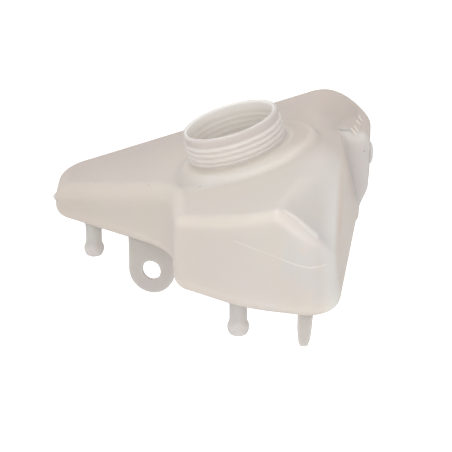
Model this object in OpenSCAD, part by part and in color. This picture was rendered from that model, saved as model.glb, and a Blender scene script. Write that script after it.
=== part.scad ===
// Coolant expansion tank, one blow moulded piece.
// X runs along the straight rear wall, Y points at it, Z is up.
// The sizes below count from the tank floor, in front of the neck's foot.
// The finished part has its origin in the middle of the lug hole.

/* [Plan] */
// Rear wall, Y of the outer face
rear_y = 93; // [88:1:100]
// Left tip, X of the outer face
tip_x = -104; // [-112:1:-98]
// Front end of the left tip's wall
tip_front_y = 45; // [40:1:50]
// Hollow corner between arm and box, X
inner_x = -31.5; // [-34:0.5:-29]
// Hollow corner between arm and box, Y
inner_y = -18; // [-22:1:-14]
// Left front corner of the box, X
box_left_x = -28.5; // [-31:0.5:-26]
// Left front corner of the box, Y
box_left_y = -73; // [-77:1:-69]
// Middle of the front face, X
face_x = 8; // [2:1:14]
// Middle of the front face, Y
face_y = -104; // [-107:1:-101]
// Right front corner of the box, X
box_right_x = 59; // [54:0.5:62]
// Right front corner of the box, Y
box_right_y = -119.5; // [-124:0.5:-116]
// Step from the right wall to the rear lobe, Y
lobe_y = 28; // [22:1:36]
// Right wall at that step, X
wall_x = 78.5; // [77:0.5:81]
// Rear right corner at floor level, X
corner_x = 84; // [81:0.5:86]

/* [Plan radii] */
// Rear left corner
tip_rear_r = 20; // [16:1:24]
// Front of the left tip
tip_front_r = 13; // [12:1:18]
// Hollow sweep between arm and box
inner_r = 62; // [50:1:66]
// Left front corner of the box
box_left_r = 12; // [11:1:14]
// Front face
face_r = 80; // [60:1:100]
// Right front corner of the box
box_right_r = 18; // [15:1:20]
// Rear right corner
corner_r = 20; // [16:1:24]

/* [Height] */
// Height of the roof plane over the origin
roof_z = 51.8; // [48:0.1:54]
// Rise of the roof along X, degrees
roof_rise = 17.67; // [16:0.1:19]
// Rise of the roof to the rear, degrees
roof_back = 0.6; // [0:0.1:1]
// Radius of the lower edge
floor_edge_r = 8; // [6:0.5:9]
// Radius of the roof edge on the arm and the rear wall
roof_edge_r = 10; // [8:0.5:11]
// Radius of the roof edge over the front face
front_edge_r = 7; // [5:0.5:9]
// Radius of the roof edge over the right wall
side_edge_r = 4; // [3:0.5:5]
// X where the roof starts to fall to the right wall
fold_x = 42; // [38:1:46]
// How far left that line starts at the front
fold_front = 15; // [10:1:18]
// How far right it ends at the rear
fold_rear = 10; // [6:1:12]
// How far the upper right wall leans in at the lobe
wall_lean = 9; // [5:0.5:11]
// How far the lobe stands out of the right wall
lobe_out = 8; // [6:0.5:10]
// Height of the lobe's roof
lobe_z = 59.5; // [57:0.5:62]

/* [Neck] */
// Lean of the neck to the left, degrees
neck_lean = 16.5; // [14:0.5:19]
// Lean of the neck to the front, degrees
neck_nod = 2.5; // [0:0.5:4]
// X of the neck's foot
neck_x = 8.8; // [6:0.1:12]
// Y of the neck's foot
neck_y = 0; // [-3:0.5:3]
// Z of the neck's foot in the roof plane
neck_z = 53.7; // [53:0.1:55]
// Outside radius between the thread turns
neck_r = 28; // [27:0.1:28.5]
// Height of the rim over the roof plane
neck_h = 24.5; // [23:0.5:26]
// Wall of the neck
neck_wall = 2.4; // [2:0.1:3]
// Thread turns
thread_turns = 4; // [3:1:5]
// Depth of the thread
thread_depth = 1.4; // [1:0.1:2]
// Plain band under the rim
rim_band = 5; // [4:0.5:6]
// Radius of the raised collar at its foot
collar_r = 41; // [39:0.5:42]
// Radius of the collar's shoulder
collar_top_r = 35.5; // [34:0.5:36.5]
// Height of the collar
collar_h = 5.5; // [4:0.5:6.5]
// How far the collar sits to the right of the neck
collar_x = 2.5; // [0:0.5:3]

/* [Wall] */
// Wall thickness
wall = 2.5; // [2:0.1:3]

/* [Hose spigots] */
// Left spigot, X
spigot_a_x = -80.2; // [-83:0.1:-77]
// Left spigot, Y
spigot_a_y = 36.5; // [34:0.5:42]
// Front spigot, X
spigot_b_x = 6.7; // [2:0.1:12]
// Front spigot, Y
spigot_b_y = -85.5; // [-89:0.5:-80]
// Outside radius of the stem
stem_r = 4.9; // [4.5:0.1:5.2]
// Radius of the end bead
bead_r = 6.1; // [5.8:0.1:6.5]
// Length below the floor
spigot_l = 20; // [17:0.5:24]
// Bore radius
spigot_bore_r = 3.1; // [2.5:0.1:3.4]

/* [Lug and peg] */
// Middle of the lug hole, X
lug_x = -44.1; // [-47:0.1:-42]
// Middle of the lug hole, Y
lug_y = 7.4; // [5:0.1:9]
// Middle of the lug hole, Z
lug_z = -18.6; // [-21:0.1:-16]
// Radius of the rounded lug end
lug_r = 14.2; // [12:0.1:15]
// Turn of the lug to the left, degrees
lug_turn = 18; // [14:1:22]
// Lug thickness
lug_t = 3; // [2.5:0.1:4]
// Radius of the lug hole
lug_hole_r = 5.8; // [5:0.1:6.5]
// Peg, X
peg_x = 43; // [40:0.5:45]
// Peg, Y
peg_y = -100; // [-102:0.5:-97]
// Peg length below the floor
peg_l = 20.5; // [18:0.5:22]
// Peg width at the floor
peg_w = 8.6; // [7:0.1:9.5]
// Peg thickness
peg_t = 4.6; // [3.5:0.1:5.5]

/* [Flash] */
// How far the seam flash stands out at the left tip
flash_left = 1.8; // [1:0.1:2.5]
// How far it stands out at the rear lobe
flash_right = 1.7; // [1:0.1:2.5]

/* [Hidden] */
$fn = 64;
plastic = "#e4dcd2";
rise = tan(roof_rise);
back = tan(roof_back);
// Corners run counter clockwise: x, y, radius (hollow ones negative), lean in at the top, stand out over the step.
corner_rows = [
  [tip_x, rear_y, tip_rear_r, 0, 0],
  [tip_x, tip_front_y, tip_front_r, 0, 0],
  [inner_x, inner_y, -inner_r, 0, 0],
  [box_left_x, box_left_y, box_left_r, 0, 0],
  [face_x, face_y, face_r, 0, 0],
  [box_right_x, box_right_y, box_right_r, -2, 0],
  [wall_x, lobe_y, -4, -wall_lean, 0],
  [wall_x + 1.5, lobe_y + 4, 8, 0, lobe_out - 3],
  [corner_x, rear_y, corner_r, 0, lobe_out - 1]
];
corner_steps = [5, 4, 6, 4, 5, 5, 2, 4, 6];
edge_steps = [1, 4, 2, 2, 6, 9, 1, 3, 5];
edge_radii = [roof_edge_r, roof_edge_r, roof_edge_r - 2, front_edge_r, front_edge_r,
  side_edge_r, side_edge_r + 2, side_edge_r + 4, roof_edge_r];
last = len(corner_rows) - 1;
points_round = addl(corner_steps) + addl([for (s = edge_steps) s - 1]);

function addl(v, i = 0) = i >= len(v) ? 0 : v[i] + addl(v, i + 1);
function unit(v) = v / norm(v);
function turned(v) = [-v[1], v[0]];
function clamp01(t) = min(1, max(0, t));
function soft(t) = let (c = clamp01(t)) c * c * (3 - 2 * c);
function before(i) = i == 0 ? last : i - 1;
function after(i) = i == last ? 0 : i + 1;

// Corner points of the outline for a lean and a stand-out between 0 and 1.
function sharp(lean, out) = [for (c = corner_rows) [c[0] + c[3] * lean + c[4] * out, c[1]]];

// A corner moved in by the inset of the edge before it and the edge after it.
function moved(c, i, d) =
  let (u = unit(c[i] - c[before(i)]), v = unit(c[after(i)] - c[i]))
  let (a = turned(u), b = turned(v), k = a * b, p = d[before(i)], q = d[i])
  c[i] + (a * (p - k * q) + b * (q - k * p)) / (1 - k * k);

// Points of one rounded corner.
function corner_arc(c, m, i, d) =
  let (u = unit(m[i] - m[before(i)]), v = unit(m[after(i)] - m[i]))
  let (s = u[0] * v[1] - u[1] * v[0], bend = atan2(s, u * v), side = sign(bend))
  let (given = corner_rows[i][2], mean = (d[before(i)] + d[i]) / 2)
  let (r = max(0.4, given > 0 ? given - mean : mean - given))
  let (start = m[i] - u * r * tan(abs(bend) / 2), hub = start + turned(u) * side * r)
  let (first = atan2(start[1] - hub[1], start[0] - hub[0]), n = corner_steps[i])
  [for (j = [0 : n - 1]) hub + r * [cos(first + bend * j / (n - 1)), sin(first + bend * j / (n - 1))]];

// Closed outline, inset edge by edge.
function outline(d, lean, out) =
  let (c = sharp(lean, out), m = [for (i = [0 : last]) moved(c, i, d)])
  let (arcs = [for (i = [0 : last]) corner_arc(c, m, i, d)])
  [for (i = [0 : last]) each concat(arcs[i], [for (j = [1 : 1 : edge_steps[i] - 1])
    let (a = arcs[i][corner_steps[i] - 1], b = arcs[after(i)][0]) a + (b - a) * j / edge_steps[i]])];

// Roof edge radius at each point of the outline.
edge_round = [for (i = [0 : last]) each concat(
  [for (j = [0 : corner_steps[i] - 1])
    let (t = j / (corner_steps[i] - 1)) edge_radii[before(i)] * (1 - t) + edge_radii[i] * t],
  [for (j = [1 : 1 : edge_steps[i] - 1]) edge_radii[i]])];

// Neck frame: along the rise, across, and out of the mouth.
neck_u = [cos(neck_lean), 0, sin(neck_lean)];
neck_n = [-sin(neck_lean) * cos(neck_nod), -sin(neck_nod), cos(neck_lean) * cos(neck_nod)];
neck_v = cross(neck_n, neck_u);
neck_foot = [neck_x, neck_y, neck_z];
collar_mid = neck_foot + neck_u * collar_x - neck_v * 2;

// The roof plane with its fall to the right wall, and the level roof of the lobe behind the step.
function fold(p) =
  let (front = soft((-45 - p[1]) / 60), rear = soft((p[1] - 40) / 45))
  let (from = fold_x - fold_front * front + fold_rear * rear)
  let (span = 23 - 9.5 * front, power = 2.3 - 0.9 * front, t = max(p[0] - from, 0))
  roof_z + rise * p[0] + back * p[1] - 11 * pow(t / span, power);
function lobe(p) =
  let (x = p[0] - 70, y = p[1] - 30)
  lobe_z + 0.8 * min(y, 0) + (x > 0 ? -0.12 : 0.6) * x;
function roof(p) = let (a = fold(p), b = lobe(p)) (a + b + sqrt((a - b) * (a - b) + 8)) / 2;
function neck_plane(p) = neck_z + ((neck_x - p[0]) * neck_n[0] + (neck_y - p[1]) * neck_n[1]) / neck_n[2];

// The collar is a low boss that grows out of the roof with a small hollow round.
function collar(p) =
  let (z = neck_plane(p), r = norm([p[0], p[1], z] - collar_mid), over = max(r - collar_top_r, 0))
  z + collar_h / neck_n[2] + 1.2 * clamp01(1 - r * r / (collar_top_r * collar_top_r)) - 0.16 * over * over;
function top(p) = let (a = roof(p), b = collar(p)) (a + b + sqrt((a - b) * (a - b) + 2.6)) / 2;
// The seat of the neck on the collar is flat.
function seat(p) = neck_plane(p) + collar_h / neck_n[2] + 0.5;

// The same surface seen from inside, a wall lower or, where it falls steeply to the right, a wall further left.
function under(p, off) = off == 0 ? top(p) : min(top(p) - off, top(p + [off, 0]) - 0.4 * off);

// Points on a circle round the neck, one for each point of the outline. Beside the lobe's step they swing
// to the rear, so that the lines from the outline to the circle never cross.
function swing(a) = a + 14 * exp(-pow((a - 23) / 26, 2));
function neck_circle(around, r, centre) =
  [for (p = around) let (a = swing(atan2(p[1] - neck_y, p[0] - neck_x)))
    let (q = centre + r * (cos(a) * neck_u + sin(a) * neck_v)) [q[0], q[1]]];

// Rings from the floor up the wall and over the roof to the neck; off moves the whole skin inward.
function level(ring, z) = [for (p = ring) [p[0], p[1], z]];
function equal(d) = [for (i = [0 : last]) d];
function rings(off, floor_n, wall_q, edge_n, roof_n) =
  let (edge = outline([for (r = edge_radii) r + off], 1, 1))
  let (crest = [for (p = edge) under(p, off)])
  let (high = [for (i = [0 : points_round - 1]) crest[i] - edge_round[i]])
  let (base = outline(equal(0), 0, 0))
  let (wide = neck_circle(base, collar_r + 2, collar_mid), inner = neck_circle(base, neck_r + 1.5, neck_foot))
  concat(
    [for (j = [0 : floor_n]) let (f = 90 * j / floor_n)
      level(outline(equal(floor_edge_r * (1 - sin(f)) + off), 0, 0), floor_edge_r * (1 - cos(f)) + off)],
    [for (q = wall_q) let (ring = outline(equal(off), clamp01((q - 0.15) / 0.85), soft((q - 0.05) / 0.35)))
      [for (i = [0 : points_round - 1]) let (low = floor_edge_r + off)
        [ring[i][0], ring[i][1], low + (high[i] - low) * q]]],
    [for (j = [0 : edge_n]) let (f = 90 * j / edge_n)
      let (ring = outline([for (r = edge_radii) r * (1 - cos(f)) + off], 1, 1))
      [for (i = [0 : points_round - 1]) [ring[i][0], ring[i][1], high[i] + edge_round[i] * sin(f)]]],
    [for (j = [1 : roof_n]) let (t = pow(j / roof_n, 1.25))
      [for (i = [0 : points_round - 1]) let (p = edge[i] * (1 - t) + wide[i] * t) [p[0], p[1], under(p, off)]]],
    [for (t = [0.18, 0.36, 0.6])
      [for (i = [0 : points_round - 1]) let (p = wide[i] * (1 - t) + inner[i] * t) [p[0], p[1], under(p, off)]]],
    [[for (p = inner) [p[0], p[1], seat(p) - off]]]);

function mean_point(ring) = [for (k = [0 : 2]) addl([for (p = ring) p[k]]) / len(ring)];

// A closed skin of rings with a point in the middle of each end.
module skin(r) {
  n = points_round;
  count = len(r);
  foot = [20, -10, r[0][0][2]];
  head = mean_point(r[count - 1]);
  pts = concat([for (ring = r) each ring], [foot, head]);
  sides = [for (k = [0 : count - 2]) for (i = [0 : n - 1])
    let (a = k * n + i, b = k * n + (i + 1) % n) each [[a, b + n, b], [a, a + n, b + n]]];
  ends = [for (i = [0 : n - 1]) let (j = (i + 1) % n, t = (count - 1) * n)
    each [[count * n, i, j], [count * n + 1, t + j, t + i]]];
  polyhedron(points = pts, faces = concat(sides, ends));
}

module at_neck() {
  translate(neck_foot) rotate([0, -neck_lean, 0]) rotate([neck_nod, 0, 0]) children();
}

module neck_outside() {
  low = collar_h + 1.5;
  foot = collar_h - 0.9;
  pitch = (neck_h - rim_band - low) / thread_turns;
  ridge = neck_r + thread_depth;
  at_neck() {
    translate([0, 0, foot]) cylinder(r = neck_r, h = neck_h - foot, $fn = 96);
    for (i = [0 : thread_turns - 1]) {
      translate([0, 0, low + i * pitch]) rotate_extrude($fn = 96) polygon([
        [neck_r - 1, 0.05 * pitch], [neck_r, 0.05 * pitch], [ridge, 0.35 * pitch],
        [ridge, 0.6 * pitch], [neck_r, 0.9 * pitch], [neck_r - 1, 0.9 * pitch]]);
    }
  }
}

module spigot(x, y) {
  translate([x, y, 0]) rotate_extrude($fn = 48) polygon([
    [0, 5], [stem_r + 2, 5], [stem_r + 2, 0.6], [stem_r + 0.6, -0.6], [stem_r, -1.6],
    [stem_r, -spigot_l + 8.4], [bead_r - 0.3, -spigot_l + 6.2], [bead_r, -spigot_l + 5],
    [bead_r - 0.4, -spigot_l + 2.6], [stem_r - 0.6, -spigot_l], [0, -spigot_l]]);
}

module spigot_bore(x, y) {
  translate([x, y, -spigot_l - 1]) cylinder(r = spigot_bore_r, h = spigot_l + 12);
}

module lug() {
  translate([lug_x, lug_y, lug_z]) rotate([90, 0, -lug_turn]) linear_extrude(lug_t, center = true) difference() {
    union() {
      circle(r = lug_r);
      translate([-lug_r, 0]) square([2 * lug_r, -lug_z + 2]);
    }
    circle(r = lug_hole_r);
  }
}

module peg() {
  h = peg_w / 2;
  translate([peg_x, peg_y + peg_t / 2, 0]) rotate([90, 0, 0]) linear_extrude(peg_t) polygon([
    [-h, 5], [-h - 0.2, -peg_l * 0.55], [-h + 0.3, -peg_l * 0.86], [-h + 1.3, -peg_l],
    [h - 3.1, -peg_l], [h - 1.7, -peg_l * 0.78], [h - 0.9, -peg_l * 0.45], [h, 5]]);
}

// What is left of the parting seam's flash at the two ends of the tank.
module flash() {
  translate([tip_x - flash_left, 52, 12]) rotate([0, 90, 0]) cylinder(r1 = 1.5, r2 = 2.2, h = flash_left + 1, $fn = 32);
  translate([88.6 + flash_right - 11, 62, 36]) rotate([90, 0, 0]) cylinder(r = 11, h = 3, center = true, $fn = 96);
}

module body() {
  difference() {
    union() {
      skin(rings(0, 3, [0.15, 0.3, 0.5, 0.75], 3, 6));
      spigot(spigot_a_x, spigot_a_y);
      spigot(spigot_b_x, spigot_b_y);
      lug();
      peg();
      flash();
    }
    skin(rings(wall, 2, [0.22, 0.42], 2, 4));
  }
}

module neck_bore(low) {
  at_neck() translate([0, 0, low]) cylinder(r = neck_r - neck_wall, h = neck_h + 6 - low, $fn = 96);
}

// The neck is bored before it joins the body, and the way down into the body after it.
module tank() {
  color(plastic) translate([-lug_x, -lug_y, -lug_z]) difference() {
    union() {
      body();
      difference() {
        neck_outside();
        neck_bore(-4);
      }
    }
    neck_bore(-10);
    spigot_bore(spigot_a_x, spigot_a_y);
    spigot_bore(spigot_b_x, spigot_b_y);
  }
}

tank();
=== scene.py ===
import bpy, bmesh, math
import numpy as np
from mathutils import Vector, Matrix


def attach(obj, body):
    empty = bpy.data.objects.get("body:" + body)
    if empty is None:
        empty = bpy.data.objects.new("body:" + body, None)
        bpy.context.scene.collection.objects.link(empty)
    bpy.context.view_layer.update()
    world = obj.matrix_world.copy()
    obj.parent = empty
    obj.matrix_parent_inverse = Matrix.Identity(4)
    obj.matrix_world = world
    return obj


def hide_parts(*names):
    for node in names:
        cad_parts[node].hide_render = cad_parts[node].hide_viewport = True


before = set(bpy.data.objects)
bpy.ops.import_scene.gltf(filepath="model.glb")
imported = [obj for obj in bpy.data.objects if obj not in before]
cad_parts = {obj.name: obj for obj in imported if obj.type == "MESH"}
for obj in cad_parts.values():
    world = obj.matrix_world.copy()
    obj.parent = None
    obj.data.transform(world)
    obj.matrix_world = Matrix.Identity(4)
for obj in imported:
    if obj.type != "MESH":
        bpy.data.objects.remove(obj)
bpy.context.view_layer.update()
originShift = np.array([44.1, -7.4, 18.6])  # from the tank's floor frame to the lug hole, mm


def toFrame(points):
    return (np.asarray(points, float) + originShift) / 1000


def soft(t):
    t = np.clip(t, 0, 1)
    return t * t * (3 - 2 * t)


# a soft step from 0 at start to 1 at stop
def rise(value, start, stop):
    return soft((value - start) / (stop - start))


# the higher of two surfaces, blended where they meet
def softMax(a, b, blend):
    return (a + b + np.sqrt((a - b) ** 2 + blend)) / 2


def makeMesh(name, points, faces):
    mesh = bpy.data.meshes.new(name)
    mesh.from_pydata(toFrame(points).tolist(), [], faces)
    mesh.validate()
    mesh.update()
    mesh.polygons.foreach_set("use_smooth", [True] * len(mesh.polygons))
    piece = bpy.data.objects.new(name, mesh)
    bpy.context.collection.objects.link(piece)
    return piece


# the hollow body

# corners run counter clockwise: x, y, radius (hollow ones negative), lean in at the top, stand out over the step
cornerRows = np.array([
    [-104, 93, 20, 0, 0],
    [-104, 45, 13, 0, 0],
    [-31.5, -18, -62, 0, 0],
    [-28.5, -73, 12, 0, 0],
    [8, -104, 80, 0, 0],
    [59, -119.5, 18, -2, 0],
    [78.5, 28, -4, -9, 0],
    [80, 32, 8, 0, 5],
    [84, 93, 20, 0, 7]], float)

# lengths in mm; a pair of places is where a form starts and where it is full
bodyShape = {
    "around": 340,                 # points round the tank
    "wall": 2.5,
    "floorEdge": 8.0,
    "floorMiddle": (20, -10),
    "leastCorner": 0.4,            # radius that an inset corner keeps
    "edges": [10, 10, 8, 7, 7, 4, 6, 8, 10],  # roof edge radius over each wall
    "leanFrom": 0.15,              # share of the wall's height where it starts to lean
    "standOut": (0.05, 0.40),      # shares of the wall's height between which the lobe stands out
    "bulge": {"out": 2.6, "front": (-115, -65), "rear": (26, -19), "inner": (50, 56)},  # top of the right wall
    "follow": {"inner": (46, 54), "rear": (27, 15), "front": (-116, -102)},  # where the roof edge falls with the roof
    "outerRings": (8, 26, 12, 44, 22),  # floor edge, wall, roof edge, roof, collar
    "innerRings": (5, 8, 6, 12, 6),
    "ringCrowd": 1.2,              # draws the roof's rings together towards its edge
    "sideShare": 0.4,              # of the wall: how far the inner roof keeps under the outer one to its right
}

# the roof rises to the right, falls again over a fold, and is nearly level on the rear right lobe
roofShape = {
    "atOrigin": 51.8,
    "riseRight": 17.67,            # degrees
    "riseBack": 0.6,               # degrees
    "foldStart": 42, "foldSpan": 23, "foldPower": 2.3, "foldDrop": 11,
    "front": {"part": (-45, -105), "start": 15, "span": 9.5, "power": 0.9},
    "rear": {"part": (40, 85), "start": 10},
    "lobe": {"height": 59.5, "x": 70, "y": 30, "fallFront": 0.8, "riseLeft": 0.6, "fallRight": -0.12, "blend": 8},
}

neckShape = {
    "foot": [8.8, 0, 53.7],
    "lean": 16.5, "nod": 2.5,      # degrees to the left and to the front
    "radius": 28.0, "height": 24.5, "wall": 2.4, "rim": 0.9, "fillet": 1.8,
    "outerFoot": 1.85, "innerFoot": 0.4, "innerDrop": 1.2,  # where the roof's last rings meet the tube
    "turns": 4, "threadDepth": 0.95, "rimBand": 5.0, "threadLow": 6.6, "innerRidge": 0.32, "innerShift": 0.6,
    "ridgeUp": (0, 0.32), "ridgeDown": (0.92, 0.62),        # shares of the pitch
    "firstTurn": 0.5, "lastTurn": 0.35, "endStart": 0.35,   # how softly the end turns die out, and from what share
    "swing": 14, "swingAt": 23, "swingWide": 26,            # degrees the rings turn to the rear beside the lobe's step
    "rootSteps": 5, "outerSteps": 65, "rimSteps": 4, "innerSteps": 41,
}

collarShape = {
    "foot": 43, "top": 35.5, "height": 5.5, "right": 4.0, "front": 3.5,
    "crown": 1.2, "fall": 0.105, "blend": 7.0,
    "overTop": 0.5,                # where the collar's last ring is centred, over its top
}

lean, nod = math.radians(neckShape["lean"]), math.radians(neckShape["nod"])
neckFoot = np.array(neckShape["foot"], float)
neckAlong = np.array([math.cos(lean), 0, math.sin(lean)])
neckOut = np.array([-math.sin(lean) * math.cos(nod), -math.sin(nod), math.cos(lean) * math.cos(nod)])
neckAcross = np.cross(neckOut, neckAlong)
collarMiddle = neckFoot + neckAlong * collarShape["right"] - neckAcross * collarShape["front"]


def unitRows(v):
    return v / np.linalg.norm(v, axis=1)[:, None]


def leftOf(v):
    return np.stack([-v[:, 1], v[:, 0]], 1)


# the directions of the edges before and after each corner
def edgeWays(corners):
    return unitRows(corners - np.roll(corners, 1, 0)), unitRows(np.roll(corners, -1, 0) - corners)


# the outline's corners for a lean, a stand-out and an inset of each edge
def movedCorners(inset, leaning, standing):
    x = cornerRows[:, 0] + cornerRows[:, 3] * leaning + cornerRows[:, 4] * standing
    c = np.stack([x, cornerRows[:, 1]], 1)
    u, v = edgeWays(c)
    a, b = leftOf(u), leftOf(v)
    k = (a * b).sum(1)[:, None]
    p, q = np.roll(inset, 1)[:, None], inset[:, None]
    return c + (a * (p - k * q) + b * (q - k * p)) / (1 - k * k)


# the rounded outline: an arc at each corner, then the straight to the next
def ringOutline(inset, leaning, standing, steps):
    inset = np.asarray(inset, float)
    m = movedCorners(inset, leaning, standing)
    u, v = edgeWays(m)
    arcs = []
    for i in range(len(m)):
        bend = math.atan2(u[i, 0] * v[i, 1] - u[i, 1] * v[i, 0], u[i] @ v[i])
        side = 1 if bend > 0 else -1
        mean = (inset[i - 1] + inset[i]) / 2
        given = cornerRows[i, 2]
        r = max(bodyShape["leastCorner"], given - mean if given > 0 else mean - given)
        start = m[i] - u[i] * r * math.tan(abs(bend) / 2)
        hub = start + np.array([-u[i, 1], u[i, 0]]) * side * r
        first = math.atan2(start[1] - hub[1], start[0] - hub[0])
        angle = first + bend * np.linspace(0, 1, steps[i][0])
        arcs.append(hub + r * np.stack([np.cos(angle), np.sin(angle)], 1))
    rows = []
    for i in range(len(m)):
        a, b = arcs[i][-1], arcs[(i + 1) % len(m)][0]
        t = np.linspace(0, 1, steps[i][1] + 1)[1:-1, None]
        rows += [arcs[i], a + (b - a) * t]
    return np.concatenate(rows)


# the top of the right wall bows out between the front corner and the lobe
def bowed(ring, leaning):
    x, y = ring[:, 0], ring[:, 1]
    bulge = bodyShape["bulge"]
    bow = rise(y, *bulge["front"]) * rise(y, *bulge["rear"]) * rise(x, *bulge["inner"])
    return np.column_stack([x + bulge["out"] * leaning * bow, y])


# how many points each corner and each edge gets: half by length, half by the angle seen from the neck
def spreadSteps(count, probe=60, inset=6.0, leastArc=9, leastEdge=3):
    ring = ringOutline(np.full(len(cornerRows), inset), 0.5, 0.5, [(probe, probe)] * len(cornerRows))
    step = np.linalg.norm(np.roll(ring, -1, 0) - ring, axis=1)
    angle = np.unwrap(np.arctan2(ring[:, 1], ring[:, 0] - neckFoot[0]))
    turn = np.abs(np.roll(angle, -1) - angle)
    turn[-1] = turn[:-1].mean()
    weight = 0.5 * step / step.sum() + 0.5 * turn / turn.sum()
    steps = []
    for i in range(len(cornerRows)):
        k = i * (2 * probe - 1)
        arcShare, edgeShare = weight[k:k + probe].sum(), weight[k + probe:k + 2 * probe - 1].sum()
        steps.append((max(leastArc, round(count * arcShare)), max(leastEdge, round(count * edgeShare))))
    return steps


pointSteps = spreadSteps(bodyShape["around"])
edgeRadii = np.array(bodyShape["edges"], float)


# the roof edge's radius at each point of a ring
def edgeRoundness():
    radii = []
    for i, (arcPoints, edgePoints) in enumerate(pointSteps):
        change = edgeRadii[i] - edgeRadii[i - 1]
        radii += list(edgeRadii[i - 1] + change * soft(np.linspace(0, 1, arcPoints)))
        radii += [edgeRadii[i]] * (edgePoints - 1)
    return np.array(radii)


edgeRound = edgeRoundness()


def roofHeight(p):
    x, y = p[:, 0], p[:, 1]
    frontRow, rearRow, lobe = roofShape["front"], roofShape["rear"], roofShape["lobe"]
    front, rear = rise(y, *frontRow["part"]), rise(y, *rearRow["part"])
    start = roofShape["foldStart"] - frontRow["start"] * front + rearRow["start"] * rear
    span = roofShape["foldSpan"] - frontRow["span"] * front
    power = roofShape["foldPower"] - frontRow["power"] * front
    plain = roofShape["atOrigin"] + math.tan(math.radians(roofShape["riseRight"])) * x
    plain = plain + math.tan(math.radians(roofShape["riseBack"])) * y
    fold = plain - roofShape["foldDrop"] * (np.maximum(x - start, 0) / span) ** power
    aside = np.where(x > lobe["x"], lobe["fallRight"], lobe["riseLeft"]) * (x - lobe["x"])
    level = lobe["height"] + lobe["fallFront"] * np.minimum(y - lobe["y"], 0) + aside
    return softMax(fold, level, lobe["blend"])


# the height of the plane through the neck's foot
def neckPlane(p):
    return neckFoot[2] + ((neckFoot[0] - p[:, 0]) * neckOut[0] + (neckFoot[1] - p[:, 1]) * neckOut[1]) / neckOut[2]


def collarHeight(p):
    z, top = neckPlane(p), collarShape["top"]
    r = np.linalg.norm(np.column_stack([p, z]) - collarMiddle, axis=1)
    over = np.maximum(r - top, 0)
    crown = collarShape["crown"] * np.clip(1 - r * r / (top * top), 0, 1)
    return z + collarShape["height"] / neckOut[2] + crown - collarShape["fall"] * over * over


def topHeight(p):
    return softMax(roofHeight(p), collarHeight(p), collarShape["blend"])


# the roof's height, or that of its inner side where off is the wall's thickness
def underHeight(p, off):
    if off == 0:
        return topHeight(p)
    aside = topHeight(p + np.array([off, 0])) - bodyShape["sideShare"] * off
    return np.minimum(topHeight(p) - off, aside)


# a circle square to the neck, seen from above, with a point for each point of the ring around it
def neckCircle(around, r, middle):
    a = np.degrees(np.arctan2(around[:, 1] - neckFoot[1], around[:, 0] - neckFoot[0]))
    swing = neckShape["swing"] * np.exp(-((a - neckShape["swingAt"]) / neckShape["swingWide"]) ** 2)
    a = np.radians(a + swing)
    q = middle + r * (np.cos(a)[:, None] * neckAlong + np.sin(a)[:, None] * neckAcross)
    return q[:, :2], a


# rings from the floor edge up the wall and over the roof to the neck
def wallRings(off, counts, collarEnd):
    rows = []
    floorCount, wallCount, edgeCount, roofCount, collarCount = counts
    floorR, n = bodyShape["floorEdge"], len(cornerRows)
    edge = bowed(ringOutline(edgeRadii + off, 1, 1, pointSteps), 1)
    crest = underHeight(edge, off)
    row = bodyShape["follow"]
    follow = rise(edge[:, 0], *row["inner"]) * rise(edge[:, 1], *row["rear"]) * rise(edge[:, 1], *row["front"])

    def edgeHeight(ring, f):
        return crest + follow * (underHeight(ring, off) - crest) - edgeRound * (1 - math.sin(f))

    high = edgeHeight(bowed(ringOutline(np.full(n, off), 1, 1, pointSteps), 1), 0)
    for f in np.linspace(0, math.pi / 2, floorCount + 1):
        ring = ringOutline(np.full(n, floorR * (1 - math.sin(f)) + off), 0, 0, pointSteps)
        rows.append(np.column_stack([ring, np.full(len(ring), floorR * (1 - math.cos(f)) + off)]))
    low = floorR + off
    for q in np.linspace(0, 1, wallCount + 2)[1:-1]:
        leaning = float(np.clip((q - bodyShape["leanFrom"]) / (1 - bodyShape["leanFrom"]), 0, 1))
        standing = float(rise(q, *bodyShape["standOut"]))
        ring = bowed(ringOutline(np.full(n, off), leaning, standing, pointSteps), leaning)
        rows.append(np.column_stack([ring, low + (high - low) * q]))
    for f in np.linspace(0, math.pi / 2, edgeCount + 1):
        ring = bowed(ringOutline(edgeRadii * (1 - math.cos(f)) + off, 1, 1, pointSteps), 1)
        rows.append(np.column_stack([ring, edgeHeight(ring, f)]))
    base = ringOutline(np.zeros(n), 0, 0, pointSteps)
    wide, angle = neckCircle(base, collarShape["foot"], collarMiddle)
    up = collarShape["height"] + collarShape["overTop"] - off
    narrow, angle = neckCircle(base, collarEnd, neckFoot + neckOut * up)
    for t in np.linspace(0, 1, roofCount + 1)[1:] ** bodyShape["ringCrowd"]:
        p = edge * (1 - t) + wide * t
        rows.append(np.column_stack([p, underHeight(p, off)]))
    for t in np.linspace(0, 1, collarCount + 1)[1:]:
        p = wide * (1 - t) + narrow * t
        rows.append(np.column_stack([p, underHeight(p, off)]))
    return rows, angle


# a rounded ridge for each turn, which dies out at both ends of the thread
def threadWave(height, depth):
    low, high = neckShape["threadLow"], neckShape["height"] - neckShape["rimBand"]
    pitch = (high - low) / neckShape["turns"]
    phase = ((height - low) / pitch) % 1.0
    ridge = rise(phase, *neckShape["ridgeUp"]) * rise(phase, *neckShape["ridgeDown"])
    first, last, start = neckShape["firstTurn"], neckShape["lastTurn"], neckShape["endStart"]
    ends = soft((height - low) / (first * pitch) + start) * soft((high - height) / (last * pitch) + start)
    return depth * ridge * ends


def neckRing(height, radius, angle):
    return (neckFoot + neckOut * np.broadcast_to(height, angle.shape)[:, None]
            + np.broadcast_to(radius, angle.shape)[:, None]
            * (np.cos(angle)[:, None] * neckAlong + np.sin(angle)[:, None] * neckAcross))


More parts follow.
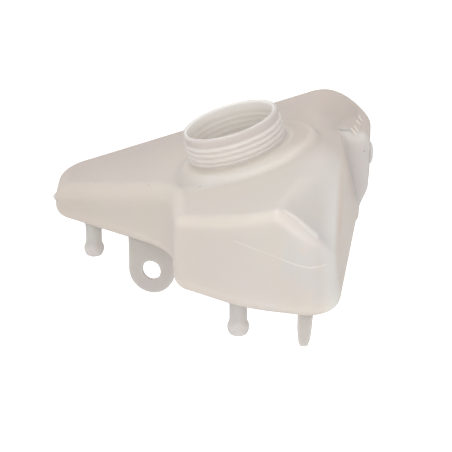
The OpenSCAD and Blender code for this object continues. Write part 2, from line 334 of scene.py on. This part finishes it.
# from the collar up the outside, over the rim and down the inside
def neckRows(angle, outerTop, innerTop):
    rows = []
    r, rim, fillet = neckShape["radius"], neckShape["rim"], neckShape["fillet"]
    bore, stop = r - neckShape["wall"], neckShape["height"] - rim
    root = (outerTop - neckFoot) @ neckOut
    below = (innerTop - neckFoot) @ neckOut
    for f in np.linspace(0, math.pi / 2, neckShape["rootSteps"] + 1)[1:]:
        rows.append(neckRing(root + fillet * (1 - math.cos(f)), r + fillet * (1 - math.sin(f)), angle))
    start = root + fillet
    for s in np.linspace(0, 1, neckShape["outerSteps"] + 1)[1:]:
        at = start + (stop - start) * s
        rows.append(neckRing(at, r + threadWave(at, neckShape["threadDepth"]), angle))
    for f in np.linspace(0, math.pi / 2, neckShape["rimSteps"] + 1)[1:]:
        rows.append(neckRing(stop + rim * math.sin(f), r - rim * (1 - math.cos(f)), angle))
    for f in np.linspace(math.pi / 2, 0, neckShape["rimSteps"] + 1):
        rows.append(neckRing(stop + rim * math.sin(f), bore + rim * (1 - math.cos(f)), angle))
    for s in np.linspace(0, 1, neckShape["innerSteps"] + 1)[1:]:
        at = stop + (below - neckShape["innerDrop"] - stop) * s
        rows.append(neckRing(at, bore + threadWave(at + neckShape["innerShift"], neckShape["innerRidge"]), angle))
    return rows


def makeBody():
    r, wall = neckShape["radius"], bodyShape["wall"]
    outer, angle = wallRings(0, bodyShape["outerRings"], r + neckShape["outerFoot"])
    inner = wallRings(wall, bodyShape["innerRings"], r - neckShape["wall"] + neckShape["innerFoot"])[0]
    rows = outer + neckRows(angle, outer[-1], inner[-1]) + inner[::-1]
    count, around = len(rows), len(rows[0])
    middle = bodyShape["floorMiddle"]
    points = np.concatenate(rows + [np.array([[*middle, 0.0], [*middle, wall]])])
    faces = []
    index = np.arange(around)
    nextIndex = np.roll(index, -1)
    for k in range(count - 1):
        a, b = k * around, (k + 1) * around
        faces += np.stack([a + index, a + nextIndex, b + nextIndex, b + index], 1).tolist()
    foot, inside, last = count * around, count * around + 1, (count - 1) * around
    for i in range(around):
        j = (i + 1) % around
        faces.append([foot, j, i])
        faces.append([inside, last + i, last + j])
    print("body points", len(points), "around", around, "rings", count)
    return makeMesh("tankBody", points, faces)


tankBody = makeBody()


# hose spigots

spigotShape = {
    "places": {"leftSpigot": (-80.2, 36.5), "frontSpigot": (6.7, -85.5)},
    "stem": 4.9, "bead": 6.1, "length": 20.0, "bore": 3.1, "into": 2.5, "around": 72,
    "root": [(0.6, 4.8), (0.55, 1.6), (0.45, 0.7), (0.3, 0.0), (0.18, -0.6), (0.1, -1.2), (0.04, -2.0), (0, -3.0),
             (0, -7.0)],           # out from the stem, height
    "swell": [(0, 9.0), (0.15, 8.2), (0.55, 7.2), (0.95, 6.3)],  # out from the stem, height over the end
    "nose": [(0.05, 5.4), (0, 4.6), (0.08, 3.6), (0.35, 2.4), (0.8, 1.3), (1.4, 0.4), (2.0, 0)],  # in from the bead
    "mouth": [(0.3, 0), (0, 0.4)],                               # out from the bore
    "seam": 0.22, "seamWide": 0.06, "seamBelow": -1.5,
}


def spigotProfile():
    stem, bead, bore, end = (spigotShape[name] for name in ("stem", "bead", "bore", "length"))
    rows = [(stem + out, z) for out, z in spigotShape["root"]]
    rows += [(stem + out, z - end) for out, z in spigotShape["swell"]]
    rows += [(bead - off, z - end) for off, z in spigotShape["nose"]]
    rows += [(bore + out, z - end) for out, z in spigotShape["mouth"]]
    return rows + [(bore, spigotShape["into"])]


def makeSpigot(name, place):
    profile, around = spigotProfile(), spigotShape["around"]
    angle = np.linspace(0, 2 * math.pi, around, endpoint=False)
    points = np.array([[place[0] + r * math.cos(a), place[1] + r * math.sin(a), z] for r, z in profile for a in angle])
    faces = []
    for k in range(len(profile) - 1):
        a, b = k * around, (k + 1) * around
        for i in range(around):
            j = (i + 1) % around
            faces.append([b + i, b + j, a + j, a + i])
    # the mould's parting line runs down the front and the back of the stem
    radial = points[:, :2] - np.array(place)
    size = np.linalg.norm(radial, axis=1)
    side = np.abs(radial[:, 0]) / np.maximum(size, 1e-6)
    outside = (size > spigotShape["bore"] + 0.5) * (points[:, 2] < spigotShape["seamBelow"])
    seam = spigotShape["seam"] * np.exp(-(side / spigotShape["seamWide"]) ** 2) * outside
    points[:, :2] += radial / size[:, None] * seam[:, None]
    return makeMesh(name, points, faces)


spigots = [makeSpigot(name, place) for name, place in spigotShape["places"].items()]


# hanging lug and locating peg

lugShape = {"middle": (-44.1, 7.4, -18.6), "radius": 14.2, "turn": 18, "thick": 3.0, "hole": 5.8, "edge": 0.55,
            "into": 1.6, "arcPoints": 61, "holePoints": 72}
pegShape = {
    "place": (43, -100), "length": 20.5, "wide": 8.6, "thick": 4.6, "edge": 0.7, "into": 2,
    "left": [(-0.1, 0.3), (-0.2, 0.55), (0.3, 0.86), (1.3, 1)],  # X from that side, share of the length
    "right": [(-3.1, 1), (-1.7, 0.78), (-0.9, 0.45)],
}
bevelShape = {"sharp": 0.8, "segments": 4}  # edges that turn by more radians than this are rounded


# a flat plate in its own X-Z plane, with an optional hole, rounded along its edges
def plateMesh(name, outline, hole, thick, place, edge):
    mesh = bmesh.new()

    def loop(points, y):
        return [mesh.verts.new((x, y, z)) for x, z in points]

    front, back = loop(outline, -thick / 2), loop(outline, thick / 2)
    loops = [(front, back)]
    if hole:
        loops.append((loop(hole, -thick / 2), loop(hole, thick / 2)))
    for a, b in loops:
        for i in range(len(a)):
            j = (i + 1) % len(a)
            mesh.faces.new([a[i], a[j], b[j], b[i]])
    for k in (0, 1):
        if hole:
            edges = [mesh.edges.get([r[k][i], r[k][(i + 1) % len(r[k])]]) for r in loops for i in range(len(r[k]))]
            bmesh.ops.triangle_fill(mesh, use_beauty=True, edges=edges)
        else:
            mesh.faces.new(loops[0][k])
    bmesh.ops.recalc_face_normals(mesh, faces=mesh.faces)
    rims = [e for e in mesh.edges if e.calc_face_angle(0) > bevelShape["sharp"]]
    bmesh.ops.bevel(mesh, geom=rims, offset=edge, segments=bevelShape["segments"], profile=0.5, affect="EDGES")
    mesh.transform(place)
    points = np.array([v.co[:] for v in mesh.verts])
    faces = [[v.index for v in f.verts] for f in mesh.faces]
    mesh.free()
    return makeMesh(name, points, faces)


def makeLug():
    r, hole, up = lugShape["radius"], lugShape["hole"], -lugShape["middle"][2] + lugShape["into"]
    arc = [(r * math.cos(a), r * math.sin(a)) for a in np.linspace(math.pi, 2 * math.pi, lugShape["arcPoints"])]
    turns = np.linspace(0, 2 * math.pi, lugShape["holePoints"], endpoint=False)
    circle = [(hole * math.cos(a), hole * math.sin(a)) for a in turns]
    place = Matrix.Translation(lugShape["middle"]) @ Matrix.Rotation(-math.radians(lugShape["turn"]), 4, "Z")
    return plateMesh("lug", arc + [(r, up), (-r, up)], circle, lugShape["thick"], place, lugShape["edge"])


def makePeg():
    half, length, into = pegShape["wide"] / 2, pegShape["length"], pegShape["into"]
    left = [(-half + off, -length * share) for off, share in pegShape["left"]]
    right = [(half + off, -length * share) for off, share in pegShape["right"]]
    outline = [(-half, into)] + left + right + [(half, into)]
    place = Matrix.Translation((*pegShape["place"], 0))
    return plateMesh("peg", outline, None, pegShape["thick"], place, pegShape["edge"])


lug, peg = makeLug(), makePeg()


# what the mould leaves at the two ends of the seam

flashShape = {
    "blobs": [{"middle": (-103.6, 52, 12), "radii": (2.2, 2.4, 2.3)},
              {"middle": (88.0, 62, 37), "radii": (2.3, 2.0, 7.0)}],
    "rows": 14, "around": 28,
}


def makeFlash():
    points, faces = [], []
    rows, around = flashShape["rows"], flashShape["around"]
    for blob in flashShape["blobs"]:
        base, middle, radii = len(points), blob["middle"], blob["radii"]
        for i in range(rows + 1):
            a = math.pi * i / rows
            for j in range(around):
                b = 2 * math.pi * j / around
                points.append([middle[0] + radii[0] * math.cos(a), middle[1] + radii[1] * math.sin(a) * math.cos(b),
                               middle[2] + radii[2] * math.sin(a) * math.sin(b)])
        for i in range(rows):
            low, high = base + i * around, base + (i + 1) * around
            for j in range(around):
                k = (j + 1) % around
                faces.append([low + j, high + j, high + k, low + k])
    return makeMesh("seamFlash", points, faces)


flash = makeFlash()


# plain raised bars on the lobe's roof

barShape = {
    "ends": [((74.6, 40.6), (76.6, 29.3)), ((76.6, 46.3), (78.9, 35.8)), ((79.0, 57.8), (80.9, 49.7)),
             ((81.0, 68.0), (82.4, 58.4))],
    "half": 0.75, "height": 0.5, "sunk": 0.06, "along": 15, "across": 9,
    "tipPower": 6, "tipWidth": 0.15,
}


def makeBars():
    points, faces = [], []
    along, across = barShape["along"], barShape["across"]
    for start, stop in barShape["ends"]:
        a, b = np.array(start), np.array(stop)
        way = (b - a) / np.linalg.norm(b - a)
        side = np.array([-way[1], way[0]])
        base = len(points)
        for s in np.linspace(0, 1, along):
            narrow = math.sqrt(max(0.0, 1 - (2 * s - 1) ** barShape["tipPower"]))
            for t in np.linspace(-1, 1, across):
                spot = a + (b - a) * s + side * t * barShape["half"] * max(narrow, barShape["tipWidth"])
                lift = barShape["height"] * math.sqrt(max(0.0, 1 - t * t)) * narrow
                points.append([*spot, float(topHeight(spot[None])[0]) - barShape["sunk"] + lift])
        for i in range(along - 1):
            for j in range(across - 1):
                k = base + i * across + j
                faces.append([k, k + across, k + across + 1, k + 1])
    return makeMesh("levelBars", points, faces)


bars = makeBars()
pieces = [tankBody, *spigots, lug, peg, flash, bars]
print("shapes made")


# node helpers

def socketGroup(name, inputs, outputs):
    group = bpy.data.node_groups.new(name, "ShaderNodeTree")
    for label, kind, value in inputs:
        s = group.interface.new_socket(label, in_out="INPUT", socket_type=kind)
        if value is not None:
            s.default_value = value
    for label, kind in outputs:
        group.interface.new_socket(label, in_out="OUTPUT", socket_type=kind)
    return group, group.nodes.new("NodeGroupInput"), group.nodes.new("NodeGroupOutput")


def feed(l, value, socket):
    if hasattr(value, "is_output"):
        l.new(value, socket)
    elif isinstance(value, tuple) and len(socket.default_value) == 4:
        socket.default_value = (*value, 1)
    elif value is not None:
        socket.default_value = value


def mixColour(n, l, fac, a, b, kind="MIX"):
    m = n.new("ShaderNodeMix")
    m.data_type, m.blend_type = "RGBA", kind
    for value, socket in ((fac, m.inputs[0]), (a, m.inputs[6]), (b, m.inputs[7])):
        feed(l, value, socket)
    return m.outputs[2]


# 0 at start and 1 at stop, also where start is the larger
def ramp(n, l, value, start, stop):
    m = n.new("ShaderNodeMapRange")
    m.interpolation_type = "SMOOTHSTEP"
    if start > stop:
        m.inputs["From Min"].default_value, m.inputs["From Max"].default_value = stop, start
        m.inputs["To Min"].default_value, m.inputs["To Max"].default_value = 1, 0
    else:
        m.inputs["From Min"].default_value, m.inputs["From Max"].default_value = start, stop
    l.new(value, m.inputs["Value"])
    return m.outputs["Result"]


def mathNode(n, l, operation, a, b, c=None):
    m = n.new("ShaderNodeMath")
    m.operation = operation
    for value, socket in ((a, m.inputs[0]), (b, m.inputs[1]), (c, m.inputs[2])):
        feed(l, value, socket)
    return m.outputs[0]


def vectorNode(n, l, operation, a, b=None):
    m = n.new("ShaderNodeVectorMath")
    m.operation = operation
    for value, socket in ((a, m.inputs[0]), (b, m.inputs[1])):
        feed(l, value, socket)
    return m.outputs["Value"] if operation in ("DOT_PRODUCT", "LENGTH") else m.outputs[0]


def product(n, l, *masks):
    result = masks[0]
    for mask in masks[1:]:
        result = mathNode(n, l, "MULTIPLY", result, mask)
    return result


def objectAxes(n, l):
    axes = n.new("ShaderNodeSeparateXYZ")
    l.new(n.new("ShaderNodeTexCoord").outputs["Object"], axes.inputs[0])
    return axes.outputs


def groupNode(n, group):
    node = n.new("ShaderNodeGroup")
    node.node_tree = group
    return node


# materials

# slow cloudiness of moulded polypropylene, smaller patches and a fine grain
def makeCloudGroup(patchFiner=2.6):
    group, inp, out = socketGroup("plasticCloud",
        [("Cloud Scale", "NodeSocketFloat", 22.0), ("Grain Scale", "NodeSocketFloat", 900.0)],
        [("Cloud", "NodeSocketFloat"), ("Patch", "NodeSocketFloat"), ("Grain", "NodeSocketFloat")])
    n, l = group.nodes, group.links
    place = n.new("ShaderNodeTexCoord")
    patchScale = mathNode(n, l, "MULTIPLY", inp.outputs["Cloud Scale"], patchFiner)
    for label, scale, detail in (("Cloud", inp.outputs["Cloud Scale"], 3), ("Patch", patchScale, 3),
                                 ("Grain", inp.outputs["Grain Scale"], 4)):
        noise = n.new("ShaderNodeTexNoise")
        noise.inputs["Detail"].default_value = detail
        l.new(place.outputs["Object"], noise.inputs["Vector"])
        l.new(scale, noise.inputs["Scale"])
        l.new(noise.outputs["Fac"], out.inputs[label])
    return group


# a soft line from one point to another, measured along the axes where Plane is 1
def makeLineGroup():
    group, inp, out = socketGroup("softLine",
        [("Start", "NodeSocketVector", None), ("End", "NodeSocketVector", None),
         ("Plane", "NodeSocketVector", (1, 1, 1)), ("Width", "NodeSocketFloat", 0.001)],
        [("Mask", "NodeSocketFloat")])
    n, l = group.nodes, group.links
    place = n.new("ShaderNodeTexCoord").outputs["Object"]
    start, end, plane = inp.outputs["Start"], inp.outputs["End"], inp.outputs["Plane"]
    way = vectorNode(n, l, "MULTIPLY", vectorNode(n, l, "SUBTRACT", end, start), plane)
    rel = vectorNode(n, l, "MULTIPLY", vectorNode(n, l, "SUBTRACT", place, start), plane)
    along, square = vectorNode(n, l, "DOT_PRODUCT", rel, way), vectorNode(n, l, "DOT_PRODUCT", way, way)
    share = mathNode(n, l, "DIVIDE", along, square)
    share = mathNode(n, l, "MINIMUM", mathNode(n, l, "MAXIMUM", share, 0.0), 1.0)
    near = n.new("ShaderNodeVectorMath")
    near.operation = "SCALE"
    l.new(way, near.inputs[0])
    l.new(share, near.inputs["Scale"])
    gap = vectorNode(n, l, "LENGTH", vectorNode(n, l, "SUBTRACT", rel, near.outputs[0]))
    l.new(ramp(n, l, mathNode(n, l, "DIVIDE", gap, inp.outputs["Width"]), 1.0, 0.0), out.inputs["Mask"])
    return group


# height over the neck's foot and distance from its axis, in metres
def makeNeckGroup():
    group, inp, out = socketGroup("neckPlace", [], [("Height", "NodeSocketFloat"), ("Radius", "NodeSocketFloat")])
    n, l = group.nodes, group.links
    place = n.new("ShaderNodeTexCoord").outputs["Object"]
    rel = vectorNode(n, l, "SUBTRACT", place, tuple(toFrame(neckFoot)))
    l.new(vectorNode(n, l, "DOT_PRODUCT", rel, tuple(neckOut)), out.inputs["Height"])
    l.new(vectorNode(n, l, "LENGTH", vectorNode(n, l, "CROSS_PRODUCT", rel, tuple(neckOut))), out.inputs["Radius"])
    return group


cloudGroup, lineGroup, neckGroup = makeCloudGroup(), makeLineGroup(), makeNeckGroup()

plasticLook = {
    "ior": 1.49, "scatter": 0.008,               # metres
    "roughness": (0.32, 0.38),
    "bump": 0.2, "bumpDepth": 0.0005, "grainHeight": 0.05, "seamHeight": 0.6,
    "bodyCloud": 18, "fittingCloud": 26, "grain": 800, "mottle": (0.35, 0.68),
    "wallSlant": 0.1,                            # X gained for each Y along the right wall
    "yellow": (0.985, 0.977, 0.945), "pink": (0.980, 0.948, 0.955),  # the two tints of the mottle
    "lug": (0.532, 0.511, 0.492), "spigot": (0.635, 0.612, 0.582), "peg": (0.570, 0.550, 0.525),
    "flash": (0.960, 0.870, 0.830), "bars": (0.860, 0.770, 0.700),
    # line is the colour of the painted highlight on the seams and the ridge, and lineStrength how much of it is laid
    # on
    "line": (1.000, 0.910, 0.825), "lineStrength": 0.7,
    "speck": (0.20, 0.15, 0.11), "speckStrength": 0.7,
}

# tones of the body, each laid over the ones before: colour, strength, and masks that run from 0 to 1 between
# two values of a field; x, y and z are in metres, wall lies across the right wall, patch is the noise, and
# radius and height are the neck's
bodyTone = (0.790, 0.700, 0.615)
# a darker tone laid on as painted shade on the rear of the body and beside the collar
shadeTone = (0.642, 0.553, 0.508)
tubeMasks = [("radius", 0.0335, 0.031), ("height", 0.0058, 0.0075)]
zoneRows = {
    "arm": {"colour": (0.730, 0.652, 0.592), "masks": [("x", 0.024, -0.004)]},
    "frontRight": {"colour": (0.762, 0.712, 0.652), "masks": [("x", -0.02, 0.11), ("y", 0.02, -0.09)]},
    # painted shade: darker towards the rear, where the roof and walls turn away from the light
    "rear": {"colour": shadeTone, "masks": [("y", -0.005, 0.075)]},
    "frontFace": {"colour": (0.775, 0.702, 0.636), "masks": [("y", -0.078, -0.100), ("z", 0.084, 0.070)]},
    # painted shade on the roof in front of and to the right of the collar
    "shadeBesideCollar": {"colour": shadeTone, "strength": 0.8, "masks": [("x", 0.055, 0.085), ("y", -0.055, -0.010)]},
    "greyPatches": {"colour": (0.740, 0.705, 0.672), "masks": [
        ("x", 0.040, 0.085), ("z", 0.088, 0.055), ("y", -0.06, -0.10), ("patch", 0.38, 0.56)]},
    # painted light: the front right corner and the roof facet above it lightened
    "corner": {"colour": (0.990, 0.915, 0.845), "masks": [("x", 0.092, 0.104), ("y", -0.050, -0.105)]},
    # painted shade: the top of the right wall darker, as if less light came from the right
    "shadeOnRightWall": {"colour": (0.750, 0.648, 0.565), "masks": [
        ("wall", 0.1112, 0.1145), ("y", 0.021, 0.017), ("y", -0.116, -0.104)]},
    "lobeFront": {"colour": (0.725, 0.690, 0.658), "masks": [
        ("x", 0.1105, 0.1135), ("y", 0.034, 0.027), ("y", 0.014, 0.018), ("z", 0.090, 0.080), ("z", 0.022, 0.036)]},
    # painted light: the front of the collar lighter, where it catches the light
    "collar": {"colour": (0.890, 0.800, 0.728), "masks": [
        ("radius", 0.030, 0.034), ("radius", 0.048, 0.042), ("height", -0.004, 0.002), ("y", -0.022, -0.044),
        ("x", 0.008, 0.034)]},
    # painted light: a touch lighter in the groove round the neck's foot, against its shade
    "neckRoot": {"colour": (0.810, 0.722, 0.640), "masks": [("radius", 0.0345, 0.0315), ("height", 0.002, 0.005)]},
    "neck": {"colour": (0.725, 0.680, 0.664), "masks": tubeMasks},
    "rimBand": {"colour": (0.605, 0.556, 0.540), "masks": [*tubeMasks, ("height", 0.0185, 0.0205)]},
    # painted light: the inside of the neck lighter, standing in for the light that comes through its walls
    "neckInside": {"colour": (0.990, 0.885, 0.820), "masks": [("radius", 0.0272, 0.0262), ("height", -0.024, -0.016)]},
}

# the parting seam on the front and on the right wall, raised in the bump and lightened as a painted highlight, and a
# painted highlight along the ridge over the front right corner: places in mm, half width, the axes that count, and the
# masks that keep each line on its own side
lineRows = {
    "front": {"plane": (1, 0, 1), "masks": [("y", -0.085, -0.095), ("patch", 0.30, 0.55)], "rows": [
        ((4.0, 0, 39.8), (20.6, 0, 36.1), 0.40), ((20.6, 0, 36.1), (35.0, 0, 31.4), 0.42),
        ((35.0, 0, 31.4), (44.2, 0, 29.6), 0.50), ((44.2, 0, 29.6), (53.0, 0, 30.0), 0.62)]},
    "right": {"plane": (0, 1, 1), "strength": 0.5, "masks": [("x", 0.095, 0.100), ("patch", 0.30, 0.55)], "rows": [
        ((0, -24.8, 18.9), (0, -48.9, 20.0), 0.6), ((0, -48.9, 20.0), (0, -80.3, 24.1), 0.6),
        ((0, -80.3, 24.1), (0, -107.9, 20.5), 0.6)]},
    # painted highlight along the ridge over the front right corner
    "ridge": {"plane": (1, 0, 1), "masks": [("y", -0.109, -0.1145)], "rows": [
        ((30.5, 0, 59.1), (38.8, 0, 53.9), 0.95), ((38.8, 0, 53.9), (48.1, 0, 45.5), 1.4)]},
}

# small dirt specks: place in mm and half width
speckRows = {
    "walls": {"plane": (1, 0, 1), "masks": [("y", 0.060, 0.055)], "rows": [((82.2, 31.0, 47.5), 0.7)]},
    "roofs": {"plane": (1, 1, 0), "masks": [], "rows": [
        ((-78.2, 33.6, 27.2), 0.8), ((-44.9, -0.2, 37.5), 0.6), ((-14.6, -34.3, 46.9), 0.7),
        ((-34.2, 62.6, 41.6), 0.6), ((54.6, 48.3, 67.5), 0.6)]},
}


# what the zones are measured by
def bodyFields(n, l, cloud):
    x, y, z = objectAxes(n, l)
    neck = groupNode(n, neckGroup)
    wall = mathNode(n, l, "SUBTRACT", x, mathNode(n, l, "MULTIPLY", y, plasticLook["wallSlant"]))
    return {"x": x, "y": y, "z": z, "wall": wall, "patch": cloud.outputs["Patch"],
            "height": neck.outputs["Height"], "radius": neck.outputs["Radius"]}


# a row's masks, and its strength where it has one
def rowMasks(n, l, fields, row):
    masks = [ramp(n, l, fields[name], start, stop) for name, start, stop in row["masks"]]
    return masks + [row["strength"]] if "strength" in row else masks


# the colour of each zone of the hollow body
def bodyColour(n, l, fields):
    colour = bodyTone
    for row in zoneRows.values():
        colour = mixColour(n, l, product(n, l, *rowMasks(n, l, fields, row)), colour, row["colour"])
    return colour


def lineMask(n, l, rows, plane):
    total = None
    for start, stop, width in rows:
        line = groupNode(n, lineGroup)
        line.inputs["Start"].default_value = tuple(toFrame(start))
        line.inputs["End"].default_value = tuple(toFrame(stop))
        line.inputs["Plane"].default_value = plane
        line.inputs["Width"].default_value = width / 1000
        total = line.outputs[0] if total is None else mathNode(n, l, "MAXIMUM", total, line.outputs[0])
    return total


# adds the seam lines and the ridge as painted highlight, and the dirt specks, to the body's colour, and gives the
# seams for the bump
def bodyMarks(n, l, fields, colour):
    lines = {}
    for name, row in lineRows.items():
        lines[name] = product(n, l, lineMask(n, l, row["rows"], row["plane"]), *rowMasks(n, l, fields, row))
    seams = mathNode(n, l, "MAXIMUM", lines["front"], lines["right"])
    light = mathNode(n, l, "MAXIMUM", seams, lines["ridge"])
    specks = []
    for row in speckRows.values():
        spots = [(at, at, width) for at, width in row["rows"]]
        specks.append(product(n, l, lineMask(n, l, spots, row["plane"]), *rowMasks(n, l, fields, row)))
    dark = mathNode(n, l, "MAXIMUM", *specks)
    colour = mixColour(n, l, product(n, l, light, plasticLook["lineStrength"]), colour, plasticLook["line"])
    colour = mixColour(n, l, product(n, l, dark, plasticLook["speckStrength"]), colour, plasticLook["speck"])
    return colour, seams


# milky plastic; without a colour of its own it takes the body's zones and marks
def makePlastic(name, own=None, milky=True):
    look = plasticLook
    material = bpy.data.materials.new(name)
    material.use_nodes = True
    n, l = material.node_tree.nodes, material.node_tree.links
    n.clear()
    out, shader = n.new("ShaderNodeOutputMaterial"), n.new("ShaderNodeBsdfPrincipled")
    l.new(shader.outputs[0], out.inputs["Surface"])
    cloud = groupNode(n, cloudGroup)
    cloud.inputs["Cloud Scale"].default_value = look["fittingCloud"] if own else look["bodyCloud"]
    cloud.inputs["Grain Scale"].default_value = look["grain"]
    fields = None if own else bodyFields(n, l, cloud)
    colour = own or bodyColour(n, l, fields)
    tint = mixColour(n, l, ramp(n, l, cloud.outputs["Cloud"], *look["mottle"]), look["yellow"], look["pink"])
    colour = mixColour(n, l, 1.0, colour, tint, "MULTIPLY")
    height = mathNode(n, l, "ADD", cloud.outputs["Patch"], product(n, l, cloud.outputs["Grain"], look["grainHeight"]))
    if not own:
        colour, seams = bodyMarks(n, l, fields, colour)
        height = mathNode(n, l, "ADD", height, product(n, l, seams, look["seamHeight"]))
    l.new(colour, shader.inputs["Base Color"])
    rough = n.new("ShaderNodeMapRange")
    rough.inputs["To Min"].default_value, rough.inputs["To Max"].default_value = look["roughness"]
    l.new(cloud.outputs["Grain"], rough.inputs["Value"])
    l.new(rough.outputs["Result"], shader.inputs["Roughness"])
    bump = n.new("ShaderNodeBump")
    bump.inputs["Strength"].default_value = look["bump"]
    bump.inputs["Distance"].default_value = look["bumpDepth"]
    l.new(height, bump.inputs["Height"])
    l.new(bump.outputs["Normal"], shader.inputs["Normal"])
    shader.inputs["IOR"].default_value = look["ior"]
    shader.inputs["Subsurface Weight"].default_value = 1.0 if milky else 0.0
    shader.inputs["Subsurface Radius"].default_value = (1.0, 1.0, 1.0)
    shader.inputs["Subsurface Scale"].default_value = look["scatter"]
    return material


tankBody.data.materials.append(makePlastic("milkyHollow"))
for piece, name, look in ((flash, "milkyFlash", "flash"), (lug, "milkyLug", "lug"), (peg, "milkyPeg", "peg"),
                          (spigots[0], "milkySpigot", "spigot")):
    piece.data.materials.append(makePlastic(name, plasticLook[look]))
bars.data.materials.append(makePlastic("milkyBars", plasticLook["bars"], milky=False))  # open thin shells
spigots[1].data.materials.append(spigots[0].data.materials[0])
for piece in pieces:
    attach(piece, "root")
    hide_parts("tank")
print("materials made")


# stage, light and camera

stageLook = {
    "size": 6.0, "lowest": -0.0142, "floorBelow": 0.075,
    "shade": (0.86, 0.86, 0.86), "fill": 0.62,   # fill is the glow that only the camera and clear things see
    "world": (0.82, 0.88), "across": (0.95, -0.2),  # light from the right and the left, and X where each is full
}


def makeFloor():
    size, z = stageLook["size"], stageLook["lowest"] - stageLook["floorBelow"]
    mesh = bpy.data.meshes.new("floor")
    mesh.from_pydata([(-size, -size, z), (size, -size, z), (size, size, z), (-size, size, z)], [], [(0, 1, 2, 3)])
    floor = bpy.data.objects.new("floor", mesh)
    bpy.context.collection.objects.link(floor)
    material = bpy.data.materials.new("paleFloor")
    material.use_nodes = True
    n, l = material.node_tree.nodes, material.node_tree.links
    n.clear()
    out, matt = n.new("ShaderNodeOutputMaterial"), n.new("ShaderNodeBsdfDiffuse")
    glow, add = n.new("ShaderNodeEmission"), n.new("ShaderNodeAddShader")
    matt.inputs["Color"].default_value = (*stageLook["shade"], 1)
    path = n.new("ShaderNodeLightPath")
    seen = mathNode(n, l, "MAXIMUM", path.outputs["Is Camera Ray"], path.outputs["Is Transmission Ray"])
    l.new(product(n, l, seen, stageLook["fill"]), glow.inputs["Strength"])
    l.new(matt.outputs[0], add.inputs[0])
    l.new(glow.outputs[0], add.inputs[1])
    l.new(add.outputs[0], out.inputs["Surface"])
    floor.data.materials.append(material)


def makeWorld():
    world = bpy.data.worlds.new("studio")
    bpy.context.scene.world = world
    world.use_nodes = True
    n, l = world.node_tree.nodes, world.node_tree.links
    n.clear()
    out, back = n.new("ShaderNodeOutputWorld"), n.new("ShaderNodeBackground")
    path, place, axes = n.new("ShaderNodeLightPath"), n.new("ShaderNodeTexCoord"), n.new("ShaderNodeSeparateXYZ")
    l.new(place.outputs["Generated"], axes.inputs[0])
    low, high = stageLook["world"]
    side = mathNode(n, l, "MULTIPLY_ADD", ramp(n, l, axes.outputs["X"], *stageLook["across"]), high - low, low)
    l.new(mathNode(n, l, "MAXIMUM", side, path.outputs["Is Camera Ray"]), back.inputs["Strength"])
    l.new(back.outputs[0], out.inputs["Surface"])


lampTarget = (0.04, -0.03, 0.06)
lampRows = {
    "keySoft": {"at": (-0.45, -1.25, 0.85), "size": 0.9, "power": 3.7},
    "rightSoft": {"at": (0.86, -1.04, 0.26), "size": 0.28, "power": 0.85},
    "frontFill": {"at": (0.12, -1.45, 0.30), "size": 0.8, "power": 2.8},
    "topWide": {"at": (-0.15, 0.05, 1.4), "size": 1.2, "power": 3.8},
}


def makeLamps():
    for name, row in lampRows.items():
        data = bpy.data.lights.new(name, "AREA")
        data.shape, data.size, data.energy = "DISK", row["size"], row["power"]
        lamp = bpy.data.objects.new(name, data)
        lamp.location = row["at"]
        lamp.rotation_mode = "QUATERNION"
        lamp.rotation_quaternion = (Vector(lampTarget) - Vector(row["at"])).to_track_quat("-Z", "Y")
        bpy.context.collection.objects.link(lamp)


cameraView = {"target": (0.0441, -0.0714, 0.0536), "distance": 1.050, "elevation": 20.0, "lens": 152.05, "sensor": 36}


def makeCamera():
    data = bpy.data.cameras.new("camera")
    data.sensor_width, data.lens = cameraView["sensor"], cameraView["lens"]
    data.clip_start, data.clip_end = 0.01, 50
    camera = bpy.data.objects.new("camera", data)
    e = math.radians(cameraView["elevation"])
    back = Vector((0, -math.cos(e), math.sin(e)))
    camera.location = Vector(cameraView["target"]) + back * cameraView["distance"]
    camera.rotation_mode = "QUATERNION"
    camera.rotation_quaternion = (-back).to_track_quat("-Z", "Y")
    bpy.context.collection.objects.link(camera)
    bpy.context.scene.camera = camera


makeFloor()
makeWorld()
makeLamps()
makeCamera()
bpy.context.scene.view_settings.view_transform = "Standard"
print("stage, light and camera made")
